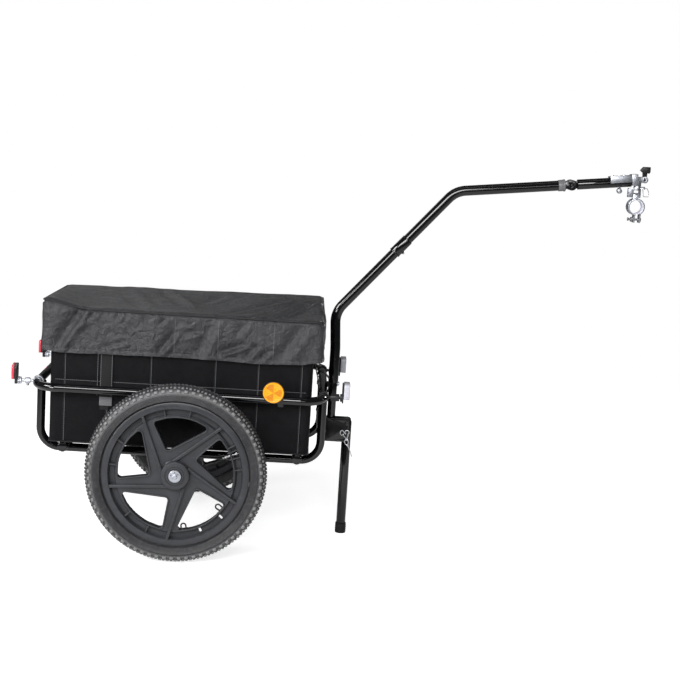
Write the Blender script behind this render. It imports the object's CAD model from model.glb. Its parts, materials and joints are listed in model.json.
"""Looks of a bike cargo trailer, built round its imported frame.

Lengths are metres: +X to the hitch, +Y to the trailer's left, +Z up. Sizes are taken from the floor under the
middle of the axle, and Layout carries them to the frame's own coordinates.
"""

import json
import logging
import math
import random
from dataclasses import dataclass, field
from enum import Enum
from typing import Callable, Iterable, Sequence

import bmesh
import bpy
from mathutils import Euler, Matrix, Vector, noise

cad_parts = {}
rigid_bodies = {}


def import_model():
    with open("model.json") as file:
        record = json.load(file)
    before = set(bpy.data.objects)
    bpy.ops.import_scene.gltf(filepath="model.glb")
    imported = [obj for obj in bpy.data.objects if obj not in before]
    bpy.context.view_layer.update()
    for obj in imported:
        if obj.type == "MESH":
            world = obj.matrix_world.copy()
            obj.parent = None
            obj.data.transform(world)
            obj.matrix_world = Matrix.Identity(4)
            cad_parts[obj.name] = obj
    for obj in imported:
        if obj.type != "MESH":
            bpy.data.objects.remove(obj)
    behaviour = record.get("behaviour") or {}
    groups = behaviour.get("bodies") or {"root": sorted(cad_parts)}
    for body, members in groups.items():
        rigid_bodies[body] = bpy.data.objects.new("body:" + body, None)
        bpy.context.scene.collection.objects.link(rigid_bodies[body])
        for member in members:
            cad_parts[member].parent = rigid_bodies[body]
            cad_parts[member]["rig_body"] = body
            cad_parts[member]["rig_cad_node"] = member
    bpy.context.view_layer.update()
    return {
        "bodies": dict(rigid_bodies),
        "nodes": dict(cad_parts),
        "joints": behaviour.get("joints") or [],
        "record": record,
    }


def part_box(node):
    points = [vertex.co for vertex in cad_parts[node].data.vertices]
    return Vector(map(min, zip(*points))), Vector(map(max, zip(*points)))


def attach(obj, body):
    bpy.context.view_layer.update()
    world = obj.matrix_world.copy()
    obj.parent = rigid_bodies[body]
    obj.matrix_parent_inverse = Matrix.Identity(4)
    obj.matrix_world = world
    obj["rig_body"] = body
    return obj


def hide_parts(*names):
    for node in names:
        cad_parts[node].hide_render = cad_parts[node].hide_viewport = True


LOG = logging.getLogger("trailer")
Place = Sequence[float]
Flat = tuple[float, float]
Thing = bpy.types.Object
UP = Vector((0, 0, 1))


class Side(Enum):
    """The trailer's two sides, as the sign of Y."""

    LEFT = 1
    RIGHT = -1

    @property
    def word(self) -> str:
        """The side's name as the nodes spell it."""
        return self.name.lower()


class Slot(Enum):
    """The record's material slots."""

    PAINT = "frame_paint"
    BOX = "box_fabric"
    COVER = "cover_fabric"
    WEBBING = "webbing"
    BOARD = "board"
    TYRE = "tyre"
    WHEEL = "wheel_plastic"
    ZINC = "zinc"
    DARK = "dark_metal"
    PLASTIC = "black_plastic"
    RUBBER = "rubber"
    RED = "red_lens"
    CLEAR = "clear_lens"
    AMBER = "orange_lens"


# Small sums
def held(value: float) -> float:
    """A value held between nought and one."""
    return max(0.0, min(1.0, value))


def eased(share: float) -> float:
    """A share that starts and ends slowly."""
    return share * share * (3 - 2 * share)


def hump(off: float, width: float) -> float:
    """A smooth hump of height one, at a distance from its middle."""
    return math.exp(-((off / width) ** 2))


def polar(radius: float, degrees: float) -> Flat:
    """The two numbers of a point at a radius and an angle."""
    angle = math.radians(degrees)
    return radius * math.cos(angle), radius * math.sin(angle)


def aimed(along: Place) -> Euler:
    """The turn that carries +Z to a direction."""
    return UP.rotation_difference(Vector(along)).to_euler()


def bend(corner: Vector, before: Vector, after: Vector, radius: float) -> tuple[Vector, ...]:
    """Where a bend round a corner starts, ends and has its middle, between the points on both sides."""
    back = (before - corner).normalized()
    on = (after - corner).normalized()
    half = back.angle(on) / 2
    reach = radius / math.tan(half)
    middle = corner + (back + on).normalized() * (radius / math.sin(half))
    return corner + back * reach, corner + on * reach, middle


def rounded_loop(ends: Place, corner: float, reach: float, turns: int, legs: int) -> list[Flat]:
    """Points round a rectangle with rounded corners, seen from above.

    Args:
        ends: how far the front, the rear and each side stand from the axle's middle.
        corner: how far in the corners' centres lie.
        reach: the points' distance from those centres.
        turns: how many steps each corner has.
        legs: how many steps each straight side has.

    Returns:
        The points' X and Y.
    """
    front, rear, half = ends
    spots = [(front - corner, -half + corner, -90), (front - corner, half - corner, 0),
             (-rear + corner, half - corner, 90), (-rear + corner, -half + corner, 180)]
    points = []
    for (x, y, start), (next_x, next_y, next_start) in zip(spots, spots[1:] + spots[:1]):
        for step in range(turns + 1):
            out = polar(reach, start + step * 90 / turns)
            points.append((x + out[0], y + out[1]))
        out = polar(reach, next_start)
        last = points[-1]
        way = (next_x + out[0] - last[0], next_y + out[1] - last[1])
        points += [(last[0] + way[0] * step / legs, last[1] + way[1] * step / legs)
                   for step in range(1, legs)]
    return points


# Shader values as expressions
def math_step(operation: str, swap: bool = False) -> Callable[..., "Sock"]:
    """Makes a Sock's operator, which adds one Math node; `swap` puts the other value first."""

    def applied(self: "Sock", other: object = 0.0) -> "Sock":
        """Adds the node."""
        pair = {0: other, 1: self} if swap else {0: self, 1: other}
        return self.graph.node("ShaderNodeMath", {"operation": operation}, pair)

    return applied


class Sock:
    """A shader value that takes part in plain expressions."""

    __add__ = __radd__ = math_step("ADD")
    __sub__ = math_step("SUBTRACT")
    __rsub__ = math_step("SUBTRACT", swap=True)
    __mul__ = __rmul__ = math_step("MULTIPLY")
    wave = math_step("SINE")
    size = math_step("ABSOLUTE")
    power = math_step("POWER")
    most = math_step("MAXIMUM")
    angle_over = math_step("ARCTAN2")

    def __init__(self, graph: "ShaderGraph", socket: bpy.types.NodeSocket) -> None:
        """Keeps the socket and the graph that it belongs to."""
        self.graph = graph
        self.socket = socket

    def between(self, low: float, high: float) -> "Sock":
        """Eases from nought at `low` to one at `high`."""
        settings = {"interpolation_type": "SMOOTHSTEP"}
        inputs = {"Value": self, "From Min": low, "From Max": high}
        return self.graph.node("ShaderNodeMapRange", settings, inputs)


class ShaderGraph:
    """A material's or world's node tree and the steps that fill it."""

    def __init__(self, owner: bpy.types.ID) -> None:
        """Takes the owner's nodes; a new material holds one Principled shader."""
        owner.use_nodes = True
        self.tree = owner.node_tree
        self.shader = self.tree.nodes.get("Principled BSDF")

    def feed(self, socket: bpy.types.NodeSocket, value: object) -> None:
        """Links a shader value to a socket, or writes a plain one on it."""
        if isinstance(value, Sock):
            self.tree.links.new(value.socket, socket)
        elif isinstance(value, tuple) and socket.type == "RGBA":
            socket.default_value = (*value[:3], 1.0)
        else:
            socket.default_value = value

    def node(self, kind: str, settings: dict | None = None, inputs: dict | None = None,
             output: int | str = 0) -> Sock:
        """Adds any node.

        Args:
            kind: the node's type.
            settings: its own settings, set first.
            inputs: the values or links of its sockets, by name or number.
            output: which output is wanted.

        Returns:
            The wanted output.
        """
        made = self.tree.nodes.new(kind)
        for key, value in (settings or {}).items():
            setattr(made, key, value)
        for key, value in (inputs or {}).items():
            self.feed(made.inputs[key], value)
        return Sock(self, made.outputs[output])

    def spot(self) -> Sock:
        """Object coordinates."""
        return self.node("ShaderNodeTexCoord", output="Object")

    def place(self, centre: Place = (0.0, 0.0, 0.0), scale: Place = (1.0, 1.0, 1.0)) -> Sock:
        """Object coordinates, centred on a point and stretched."""
        pair = {0: self.spot(), 1: tuple(centre)}
        moved = self.node("ShaderNodeVectorMath", {"operation": "SUBTRACT"}, pair)
        return self.node("ShaderNodeMapping", None, {"Vector": moved, "Scale": tuple(scale)})

    def axes(self, place: Sock) -> tuple[Sock, ...]:
        """The three numbers of a place."""
        return tuple(self.node("ShaderNodeSeparateXYZ", None, {0: place}, output=i) for i in range(3))

    def cloud(self, scale: float, detail: float = 3.0, place: Sock | None = None, warp: float = 0.0) -> Sock:
        """Noise round one half."""
        values = {"Vector": place or self.spot(), "Scale": scale, "Detail": detail, "Distortion": warp}
        return self.node("ShaderNodeTexNoise", None, values)

    def cells(self, scale: float, place: Sock | None = None) -> Sock:
        """Distance to the nearest cell point."""
        return self.node("ShaderNodeTexVoronoi", None, {"Vector": place or self.spot(), "Scale": scale})

    def coats(self, colour: object, *coats: tuple[object, object]) -> Sock:
        """A colour under coats, each of them its share and its colour."""
        for share, coat in coats:
            inputs = {0: share, 6: colour, 7: coat}
            colour = self.node("ShaderNodeMix", {"data_type": "RGBA"}, inputs, output=2)
        return colour

    def relief(self, height: Sock, depth: float = 1.0, strength: float = 1.0) -> Sock:
        """A bumped normal; `depth` is how high a height of one stands."""
        return self.node("ShaderNodeBump", None, {"Height": height, "Distance": depth, "Strength": strength})

    def surface(self, colour: object, roughness: object, normal: Sock | None = None,
                **others: object) -> None:
        """Fills the shader; `others` are its further sockets, with a low line for each space."""
        values = {"Base Color": colour, "Roughness": roughness, "Normal": normal}
        values.update({name.replace("_", " "): value for name, value in others.items()})
        for name, value in values.items():
            if value is not None:
                self.feed(self.shader.inputs[name], value)


# Finishes
@dataclass(frozen=True)
class Finish:
    """What every finish has: the material's name and the record's slot."""

    name: str
    slot: Slot

    def fill(self, graph: ShaderGraph) -> None:
        """Builds the finish in a new graph; each kind of finish has its own way."""
        raise NotImplementedError

    def material(self) -> bpy.types.Material:
        """The finish's material, made at its first use."""
        found = bpy.data.materials.get(self.name)
        if found is None:
            found = bpy.data.materials.new(self.name)
            self.fill(ShaderGraph(found))
        return found


@dataclass(frozen=True)
class Paint(Finish):
    """Glossy sprayed paint with a faint orange peel, dust and rubbed spots."""

    colour: tuple = (0.0020, 0.0020, 0.0026)
    roughness: float = 0.07

    def fill(self, graph: ShaderGraph) -> None:
        """Lays the paint."""
        dust = graph.cloud(38.0, 6.0, warp=0.4).between(0.52, 0.80)
        rubbed = graph.cloud(220.0, 4.0).between(0.62, 0.75)
        colour = graph.coats(self.colour, (dust * 0.18, (0.016, 0.016, 0.018)),
                             (rubbed * 0.12, (0.030, 0.030, 0.032)))
        peel = graph.relief(graph.cloud(420.0, 2.0), 0.000006)
        graph.surface(colour, dust * 0.06 + rubbed * 0.05 + self.roughness, peel, Specular_IOR_Level=0.60)


@dataclass(frozen=True)
class Cloth(Finish):
    """Coated plain-woven cloth: yarns both ways, small creases, rubbed and dusty places."""

    shade: tuple
    worn: tuple
    yarn: float
    roughness: float
    crease: float
    gloss: float = 0.16

    def fill(self, graph: ShaderGraph) -> None:
        """Weaves the cloth."""
        turn = 2 * math.pi / self.yarn
        across, along, up = graph.axes(graph.place())
        weave = (across * turn).wave() + (along * turn).wave() + (up * turn).wave()
        slub = graph.cloud(1.0, 4.0, graph.place(scale=(420.0, 420.0, 70.0)))
        patches = graph.cloud(26.0, 5.0, warp=0.8).between(0.38, 0.68)
        colour = graph.coats(self.shade, (patches * 0.45, self.worn),
                             ((weave * 0.16 + 0.5) * 0.35, self.worn),
                             (slub.between(0.45, 0.7) * 0.22, self.worn))
        creases = graph.cloud(46.0, 4.0, warp=1.2) * 0.75 + graph.cloud(150.0, 3.0, warp=0.8) * 0.20
        normal = graph.relief(creases * self.crease + weave * 0.00006 + slub * 0.00005)
        roughness = patches * 0.10 + (self.roughness - 0.05) - weave * 0.02
        graph.surface(colour, roughness, normal, Specular_IOR_Level=self.gloss)


@dataclass(frozen=True)
class Webbing(Finish):
    """Woven strap: fine ribs along one axis and a heavier yarn across them."""

    shade: tuple = (0.0080, 0.0080, 0.0088)
    ribs: int = 0
    pitch: float = 0.0021
    pick_pitch: float = 0.0013

    def fill(self, graph: ShaderGraph) -> None:
        """Weaves the strap."""
        axes = graph.axes(graph.place())
        rib = (axes[self.ribs] * (2 * math.pi / self.pitch)).wave()
        pick = (axes[2] * (2 * math.pi / self.pick_pitch)).wave()
        fuzz = graph.cloud(900.0, 3.0)
        light = tuple(held(c * 2.2 + 0.012) for c in self.shade)
        colour = graph.coats(self.shade, ((rib * pick * 0.25 + 0.35) * 0.7 + fuzz * 0.15, light))
        normal = graph.relief(rib * 0.00022 + pick * 0.00010 + fuzz * 0.0001)
        graph.surface(colour, fuzz * 0.15 + 0.62, normal, Specular_IOR_Level=0.2)


@dataclass(frozen=True)
class Thread(Finish):
    """Sewing thread: short light stitches with gaps between them along every axis."""

    light: tuple = (0.150, 0.150, 0.156)
    dark: tuple = (0.024, 0.024, 0.026)
    stitch: float = 0.0042

    def fill(self, graph: ShaderGraph) -> None:
        """Sews the stitches."""
        across, along, up = graph.axes(graph.place())
        run = ((across + along * 0.9 + up * 1.05) * (2 * math.pi / self.stitch)).wave().between(-0.75, -0.2)
        fray = graph.cloud(700.0, 3.0)
        colour = graph.coats(self.dark, (run * (fray * 0.4 + 0.75), self.light))
        graph.surface(colour, fray * 0.1 + 0.6, graph.relief(run * 0.0003 + fray * 0.0001),
                      Specular_IOR_Level=0.2)


@dataclass(frozen=True)
class Moulded(Finish):
    """Moulded plastic with a fine spark grain and slightly polished high places."""

    shade: tuple
    roughness: float
    grain: float = 0.00009

    def fill(self, graph: ShaderGraph) -> None:
        """Moulds the plastic."""
        grain = graph.cloud(1500.0, 3.0) * 0.6 + graph.cells(900.0) * 0.5
        flow = graph.cloud(18.0, 5.0, warp=1.0).between(0.35, 0.70)
        scuff = graph.cloud(1.0, 6.0, graph.place(scale=(60.0, 60.0, 240.0))).between(0.58, 0.72)
        light = tuple(c * 1.35 + 0.004 for c in self.shade)
        scuffed = tuple(c * 1.9 + 0.01 for c in self.shade)
        colour = graph.coats(self.shade, (flow * 0.5, light), (scuff * 0.25, scuffed))
        roughness = flow * 0.08 + grain * 0.06 + scuff * 0.10 + (self.roughness - 0.08)
        graph.surface(colour, roughness, graph.relief(grain * self.grain), Specular_IOR_Level=0.32)


@dataclass(frozen=True)
class Rubber(Finish):
    """Black rubber with dust in its pores, rubbed lighter in places."""

    shade: tuple = (0.026, 0.026, 0.028)
    dust: tuple = (0.062, 0.062, 0.064)
    roughness: float = 0.44
    centre: tuple | None = None
    section: tuple = (0.1780, 0.0212, 0.0236)

    def fill(self, graph: ShaderGraph) -> None:
        """Moulds the rubber; with a wheel's centre, the knobs' tops are worn lighter."""
        pores = graph.cloud(620.0, 4.0)
        smear = graph.cloud(55.0, 6.0, warp=1.4).between(0.42, 0.72)
        specks = graph.cells(480.0).between(0.12, 0.45)
        colour = graph.coats(self.shade, (smear * 0.45, self.dust), ((1 - specks) * 0.30, self.dust))
        if self.centre is not None:
            across, along, up = graph.axes(graph.place(centre=self.centre))
            reach = (across * across + up * up).power(0.5) - self.section[0]
            worn = (reach * reach + along * along).power(0.5).between(self.section[1], self.section[2])
            worn = worn * reach.between(0.0020, 0.0050)
            colour = graph.coats(colour, (worn * 0.85, (0.190, 0.190, 0.193)))
        roughness = smear * 0.12 + pores * 0.10 + (self.roughness - 0.08)
        graph.surface(colour, roughness, graph.relief(pores * 0.00022 + specks * 0.0001),
                      Specular_IOR_Level=0.34)


@dataclass(frozen=True)
class Plated(Finish):
    """Bright or dark plated metal: faint spangle, brushed lines, dull spots."""

    shade: tuple = (0.56, 0.58, 0.63)
    dull: tuple = (0.32, 0.33, 0.36)
    roughness: float = 0.34

    def fill(self, graph: ShaderGraph) -> None:
        """Plates the metal."""
        spangle = graph.cells(210.0)
        brushed = graph.cloud(1.0, 5.0, graph.place(scale=(140.0, 140.0, 1500.0)))
        dull = graph.cloud(130.0, 6.0, warp=1.0).between(0.50, 0.72)
        colour = graph.coats(self.shade, (dull * 0.55, self.dull), (spangle * 0.18, self.dull))
        roughness = dull * 0.16 + spangle * 0.08 + brushed * 0.10 + (self.roughness - 0.06)
        graph.surface(colour, roughness, graph.relief(brushed * 0.00002 + spangle * 0.00003), Metallic=1.0)


@dataclass(frozen=True)
class Prisms(Finish):
    """A reflector's face: rows of small pyramids under a clear smooth skin."""

    shade: tuple
    light: tuple
    cell: float = 0.0024
    centre: tuple = (0.0, 0.0, 0.0)
    sectors: int = 0
    sector_reach: float = 0.0185

    def fill(self, graph: ShaderGraph) -> None:
        """Presses the prisms; with sectors, each second one lies darker round the centre."""
        across, along, up = graph.axes(graph.place(centre=self.centre))
        step = math.pi / self.cell
        ridge = ((across + up * 0.577) * step).wave().size() + ((along + up * 0.577) * step).wave().size()
        ridge = (ridge + (up * (step * 1.155)).wave().size()) * 0.333
        sparkle = graph.cells(1.0 / self.cell, graph.place(centre=self.centre))
        tone = ridge * 0.55 + sparkle * 0.45
        colour = graph.coats(self.shade, (tone.between(0.15, 0.80), self.light))
        if self.sectors:
            lobes = (up.angle_over(across) * self.sectors + math.pi / 2).wave().between(-0.15, 0.15)
            reach = (across * across + up * up).power(0.5)
            inside = 1 - reach.between(self.sector_reach, self.sector_reach + 0.0015)
            dark = tuple(c * 0.62 for c in self.shade)
            colour = graph.coats(colour, (lobes * inside * 0.62, dark))
        normal = graph.relief(ridge * 0.0006, strength=0.6)
        graph.surface(colour, sparkle * 0.12 + 0.16, normal, Coat_Weight=0.35, Coat_Roughness=0.05,
                      Specular_IOR_Level=0.35)


@dataclass(frozen=True)
class Board(Finish):
    """The stiff floor board under its dark coating, with fibres and scuffs."""

    shade: tuple = (0.030, 0.028, 0.026)
    bare: tuple = (0.085, 0.080, 0.074)

    def fill(self, graph: ShaderGraph) -> None:
        """Presses the board."""
        fibres = graph.cloud(1.0, 6.0, graph.place(scale=(40.0, 420.0, 420.0)))
        scuffs = graph.cloud(30.0, 6.0, warp=2.0).between(0.55, 0.75)
        colour = graph.coats(self.shade, (fibres * 0.5 + scuffs * 0.4, self.bare))
        graph.surface(colour, scuffs * 0.2 + 0.6, graph.relief(fibres * 0.0003))


PAINT = Paint("gloss_paint", Slot.PAINT)
SATIN = Paint("bracket_paint", Slot.PAINT, (0.004, 0.004, 0.005), 0.20)
BOX_CLOTH = Cloth("box_cloth", Slot.BOX, (0.0026, 0.0026, 0.0034), (0.0066, 0.0066, 0.0080), 0.0009,
                  0.42, 0.0008, 0.09)
COVER_CLOTH = Cloth("cover_cloth", Slot.COVER, (0.0235, 0.0235, 0.0262), (0.047, 0.047, 0.0510), 0.0011, 0.40,
                    0.0075, 0.36)
PIPING = Cloth("edge_piping", Slot.COVER, (0.020, 0.020, 0.021), (0.040, 0.040, 0.042), 0.0012, 0.5, 0.0004)
DARK_PIPING = Cloth("box_piping", Slot.BOX, (0.0085, 0.0085, 0.0095), (0.020, 0.020, 0.022), 0.0012,
                    0.45, 0.0004, 0.12)
STRAP = Webbing("strap_webbing", Slot.WEBBING)
PATCH = Webbing("hook_patch", Slot.WEBBING, (0.120, 0.120, 0.126), 2, 0.0016)
THREAD = Thread("seam_thread", Slot.BOX)
COVER_THREAD = Thread("cover_thread", Slot.COVER, (0.150, 0.150, 0.155), (0.060, 0.060, 0.063))
WHEEL_PLASTIC = Moulded("wheel_moulding", Slot.WHEEL, (0.030, 0.031, 0.0345), 0.34)
BLACK_PLASTIC = Moulded("black_moulding", Slot.PLASTIC, (0.016, 0.016, 0.017), 0.38)
SLEEVE = Moulded("sleeve_moulding", Slot.PLASTIC, (0.150, 0.150, 0.158), 0.34)
LINER = Moulded("clamp_liner", Slot.ZINC, (0.66, 0.66, 0.74), 0.5, 0.00005)
BLACK_RUBBER = Rubber("foot_rubber", Slot.RUBBER, (0.005, 0.005, 0.006), (0.014, 0.014, 0.015), 0.6)
ZINC = Plated("bright_zinc", Slot.ZINC)
BRIGHT_WIRE = Plated("bright_wire", Slot.ZINC, (0.86, 0.87, 0.89), (0.62, 0.63, 0.65), 0.26)
DARK_METAL = Plated("black_oxide", Slot.DARK, (0.070, 0.070, 0.076), (0.040, 0.040, 0.044))
STEEL = Plated("plain_steel", Slot.DARK, (0.30, 0.30, 0.31), (0.16, 0.16, 0.17))
FLOOR_BOARD = Board("floor_coating", Slot.BOARD)
RED = Prisms("red_prisms", Slot.RED, (0.46, 0.010, 0.030), (0.80, 0.060, 0.090))
CLEAR = Prisms("clear_prisms", Slot.CLEAR, (0.34, 0.34, 0.40), (0.60, 0.60, 0.66))


# Modelling steps
class Bench:
    """The modelling steps that every piece goes through, each done with Blender's own operators."""

    def clear(self) -> None:
        """Leaves edit mode and deselects everything."""
        if bpy.context.object is not None and bpy.context.object.mode != "OBJECT":
            bpy.ops.object.mode_set(mode="OBJECT")
        bpy.ops.object.select_all(action="DESELECT")

    def hold(self, thing: Thing) -> Thing:
        """Makes one object the only selected one and the active one."""
        self.clear()
        thing.select_set(True)
        bpy.context.view_layer.objects.active = thing
        return thing

    def named(self, name: str = "part") -> Thing:
        """Names the object just added and puts its place in its mesh."""
        thing = bpy.context.object
        thing.name = name
        thing.data.name = name
        bpy.ops.object.transform_apply(location=True, rotation=True, scale=True)
        return thing

    def settle(self, thing: Thing, spot: Place = (0, 0, 0), turn: Place = (0, 0, 0)) -> Thing:
        """Turns an object, moves it to a spot and puts both in its mesh."""
        thing.rotation_euler = turn
        thing.location = spot
        self.hold(thing)
        bpy.ops.object.transform_apply(location=True, rotation=True, scale=True)
        return thing

    def edit(self, thing: Thing, kind: str = "VERT", wanted: Callable[[object], bool] | None = None) -> None:
        """Goes into edit mode with everything selected, or only the wanted parts.

        Args:
            thing: the object to edit.
            kind: "FACE", "EDGE" or "VERT".
            wanted: says for each part whether it is selected.
        """
        self.hold(thing)
        bpy.ops.object.mode_set(mode="EDIT")
        bpy.ops.mesh.select_mode(type=kind)
        bpy.ops.mesh.select_all(action="DESELECT" if wanted else "SELECT")
        if wanted:
            shape = bmesh.from_edit_mesh(thing.data)
            for part in shape.faces if kind == "FACE" else shape.edges:
                if wanted(part):
                    part.select_set(True)
            bmesh.update_edit_mesh(thing.data)

    def extrude(self, move: Place) -> None:
        """Draws what is selected out by a move."""
        bpy.ops.mesh.extrude_region_move(TRANSFORM_OT_translate={"value": move})

    def done(self, thing: Thing, merge: float = 0.0) -> Thing:
        """Leaves edit mode, first merging doubles and turning the faces outwards if asked."""
        if merge > 0:
            bpy.ops.mesh.select_all(action="SELECT")
            bpy.ops.mesh.remove_doubles(threshold=merge)
            bpy.ops.mesh.normals_make_consistent(inside=False)
        bpy.ops.object.mode_set(mode="OBJECT")
        return thing

    def modify(self, thing: Thing, kind: str, **settings: object) -> Thing:
        """Adds one modifier with its settings and applies it."""
        self.hold(thing)
        modifier = thing.modifiers.new(kind.lower(), kind)
        for key, value in settings.items():
            setattr(modifier, key, value)
        bpy.ops.object.modifier_apply(modifier=modifier.name)
        return thing

    def soften(self, thing: Thing, width: float, segments: int = 2, angle: float = 36.0) -> Thing:
        """Eases every edge sharper than an angle."""
        return self.modify(thing, "BEVEL", width=width, segments=segments, limit_method="ANGLE",
                           angle_limit=math.radians(angle), use_clamp_overlap=True)

    def smooth(self, thing: Thing, angle: float) -> Thing:
        """Shades the round faces smooth and keeps edges sharper than an angle."""
        self.hold(thing)
        bpy.ops.object.shade_smooth_by_angle(angle=math.radians(angle))
        return thing

    def join(self, name: str, things: Iterable[Thing]) -> Thing:
        """Joins meshes into the first of them."""
        first, *others = things
        self.hold(first)
        for thing in others:
            thing.select_set(True)
        if others:
            bpy.ops.object.join()
        first.name = name
        first.data.name = name
        return first

    def copy(self, thing: Thing) -> Thing:
        """A copy with its own mesh that belongs to no body yet."""
        self.hold(thing)
        bpy.ops.object.duplicate(linked=False)
        made = bpy.context.object
        made.parent = None
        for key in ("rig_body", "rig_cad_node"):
            if key in made:
                del made[key]
        return made

    def refined(self, node: Thing, bevel: float = 0.0) -> Thing:
        """A merged bare copy of a CAD node with its flat faces whole again and its edges eased."""
        made = self.copy(node)
        self.edit(made)
        bpy.ops.mesh.remove_doubles(threshold=0.00001)
        bpy.ops.mesh.dissolve_limited(angle_limit=math.radians(0.8))
        self.done(made)
        if bevel > 0:
            self.soften(made, bevel)
        made.data.materials.clear()
        return self.smooth(made, 36)

    def block(self, low: Place, high: Place) -> Thing:
        """A box between two corners."""
        low, high = Vector(low), Vector(high)
        bpy.ops.mesh.primitive_cube_add(size=1.0, location=(low + high) / 2, scale=high - low)
        return self.named()

    def sewn_box(self, ends: Place, levels: Place, flat: float, axle: float, cuts: Sequence[int]) -> Thing:
        """A box of five sewn panels of small squares, open above or below.

        Args:
            ends: how far the front, the rear and each side stand from the axle's middle.
            levels: where the walls start and end.
            flat: the height of the floor or the top.
            axle: where the axle is.
            cuts: how many squares go along, across and up.

        Returns:
            The box with its panels merged.
        """
        front, rear, half = ends
        length = front + rear
        height = levels[1] - levels[0]
        mid_x = (front - rear) / 2 + axle
        mid_z = (levels[1] + levels[0]) / 2
        along, across, up = cuts
        quarter = math.pi / 2
        plan = [((mid_x, 0, flat), (length, 2 * half), (0, 0, 0), (along, across))]
        for side in (-1, 1):
            plan.append(((mid_x, side * half, mid_z), (length, height), (quarter, 0, 0), (along, up)))
        for x in (-rear, front):
            plan.append(((x + axle, 0, mid_z), (height, 2 * half), (0, quarter, 0), (up, across)))
        panels = []
        for middle, size, turn, squares in plan:
            bpy.ops.mesh.primitive_grid_add(x_subdivisions=squares[0], y_subdivisions=squares[1], size=1.0)
            panel = bpy.context.object
            panel.scale = (*size, 1.0)
            panels.append(self.settle(panel, middle, turn))
        box = self.join("box", panels)
        self.edit(box)
        return self.done(box, 0.00008)

    def torus(self, ring: float, thick: float, sides: int, spot: Place, turn: Place = (0, 0, 0)) -> Thing:
        """A thin ring round its own Z axis."""
        bpy.ops.mesh.primitive_torus_add(major_radius=ring, minor_radius=thick, major_segments=sides,
                                         minor_segments=8, location=spot, rotation=turn)
        return self.named()

    def rod(self, start: Place, end: Place, radius: float, sides: int = 32, bevel: float = 0.0) -> Thing:
        """A cylinder between two points with eased rims."""
        start, end = Vector(start), Vector(end)
        bpy.ops.mesh.primitive_cone_add(vertices=sides, radius1=radius, radius2=radius,
                                        depth=(end - start).length, location=(start + end) / 2,
                                        rotation=aimed(end - start))
        made = self.named()
        if bevel > 0:
            self.edit(made, "EDGE", lambda edge: any(len(face.verts) > 4 for face in edge.link_faces))
            bpy.ops.mesh.bevel(offset=bevel, segments=2, affect="EDGES")
            self.done(made, 0.000001)
        return made

    def point(self, spot: Place) -> Thing:
        """One loose vertex in edit mode, ready to be drawn out."""
        bpy.ops.mesh.primitive_plane_add(size=0.001, location=spot)
        made = self.named()
        self.edit(made)
        bpy.ops.mesh.merge(type="CENTER")
        return made

    def lathe(self, profile: Sequence[Place], steps: int, closed: bool = False) -> Thing:
        """Turns a profile of radius and Y round the Y axis.

        Args:
            profile: points of radius and Y, starting and ending on the axis unless closed.
            steps: how many steps go round.
            closed: whether the last point joins the first.

        Returns:
            The turned piece, round the origin.
        """
        made = self.point((*profile[0], 0.0))
        points = [*profile, profile[0]] if closed else profile
        for last, point in zip(points, points[1:]):
            self.extrude((point[0] - last[0], point[1] - last[1], 0.0))
        bpy.ops.mesh.select_all(action="SELECT")
        bpy.ops.mesh.spin(steps=steps, angle=2 * math.pi, center=(0, 0, 0), axis=(0, 1, 0))
        return self.done(made, 0.000004)

    def tube(self, corners: Sequence[Place], radius: float, bends: float | Sequence[float],
             closed: bool = False, sides: int = 28, steps: int = 12) -> Thing:
        """A round tube bent along straight legs.

        Args:
            corners: where the legs meet; the first and last are the ends of an open tube.
            radius: the tube's radius.
            bends: the bend radius, one for all or one for each corner.
            closed: whether the tube comes back to its start.
            sides: how many sides go round the tube.
            steps: how many steps each bend has.

        Returns:
            The bent tube with its ends closed.
        """
        places = [Vector(corner) for corner in corners]
        count = len(places)
        radii = bends if isinstance(bends, (list, tuple)) else [bends] * count
        start = (places[-1] + places[0]) / 2 if closed else places[0]
        heading = (places[0 if closed else 1] - start).normalized()
        bpy.ops.mesh.primitive_circle_add(vertices=sides, radius=radius, location=start,
                                          rotation=aimed(heading))
        made = self.named()
        self.edit(made)
        here = start
        for index in range(count) if closed else range(1, count - 1):
            enter, leave, middle = bend(places[index], places[index - 1], places[(index + 1) % count],
                                        radii[index])
            self.extrude(enter - here)
            axis = (enter - middle).cross(leave - middle).normalized()
            sweep = (enter - middle).angle(leave - middle)
            bpy.ops.mesh.spin(steps=steps, angle=-sweep, center=middle, axis=axis)
            here = leave
        self.extrude((start if closed else places[-1]) - here)
        bpy.ops.mesh.select_all(action="SELECT")
        if not closed:
            bpy.ops.mesh.fill_holes(sides=0)
        return self.done(made, 0.00002)

    def wire(self, path: Sequence[Place], radius: float, closed: bool = False) -> Thing:
        """A thin round wire or cord along many points."""
        curve = bpy.data.curves.new("wire", "CURVE")
        curve.dimensions = "3D"
        spline = curve.splines.new("POLY")
        spline.points.add(len(path) - 1)
        for point, place in zip(spline.points, path):
            point.co = (*place, 1.0)
        spline.use_cyclic_u = closed
        curve.bevel_depth = radius
        curve.bevel_resolution = 3
        curve.use_fill_caps = not closed
        made = bpy.data.objects.new("wire", curve)
        bpy.context.scene.collection.objects.link(made)
        self.hold(made)
        bpy.ops.object.convert(target="MESH")
        return bpy.context.object

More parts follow.
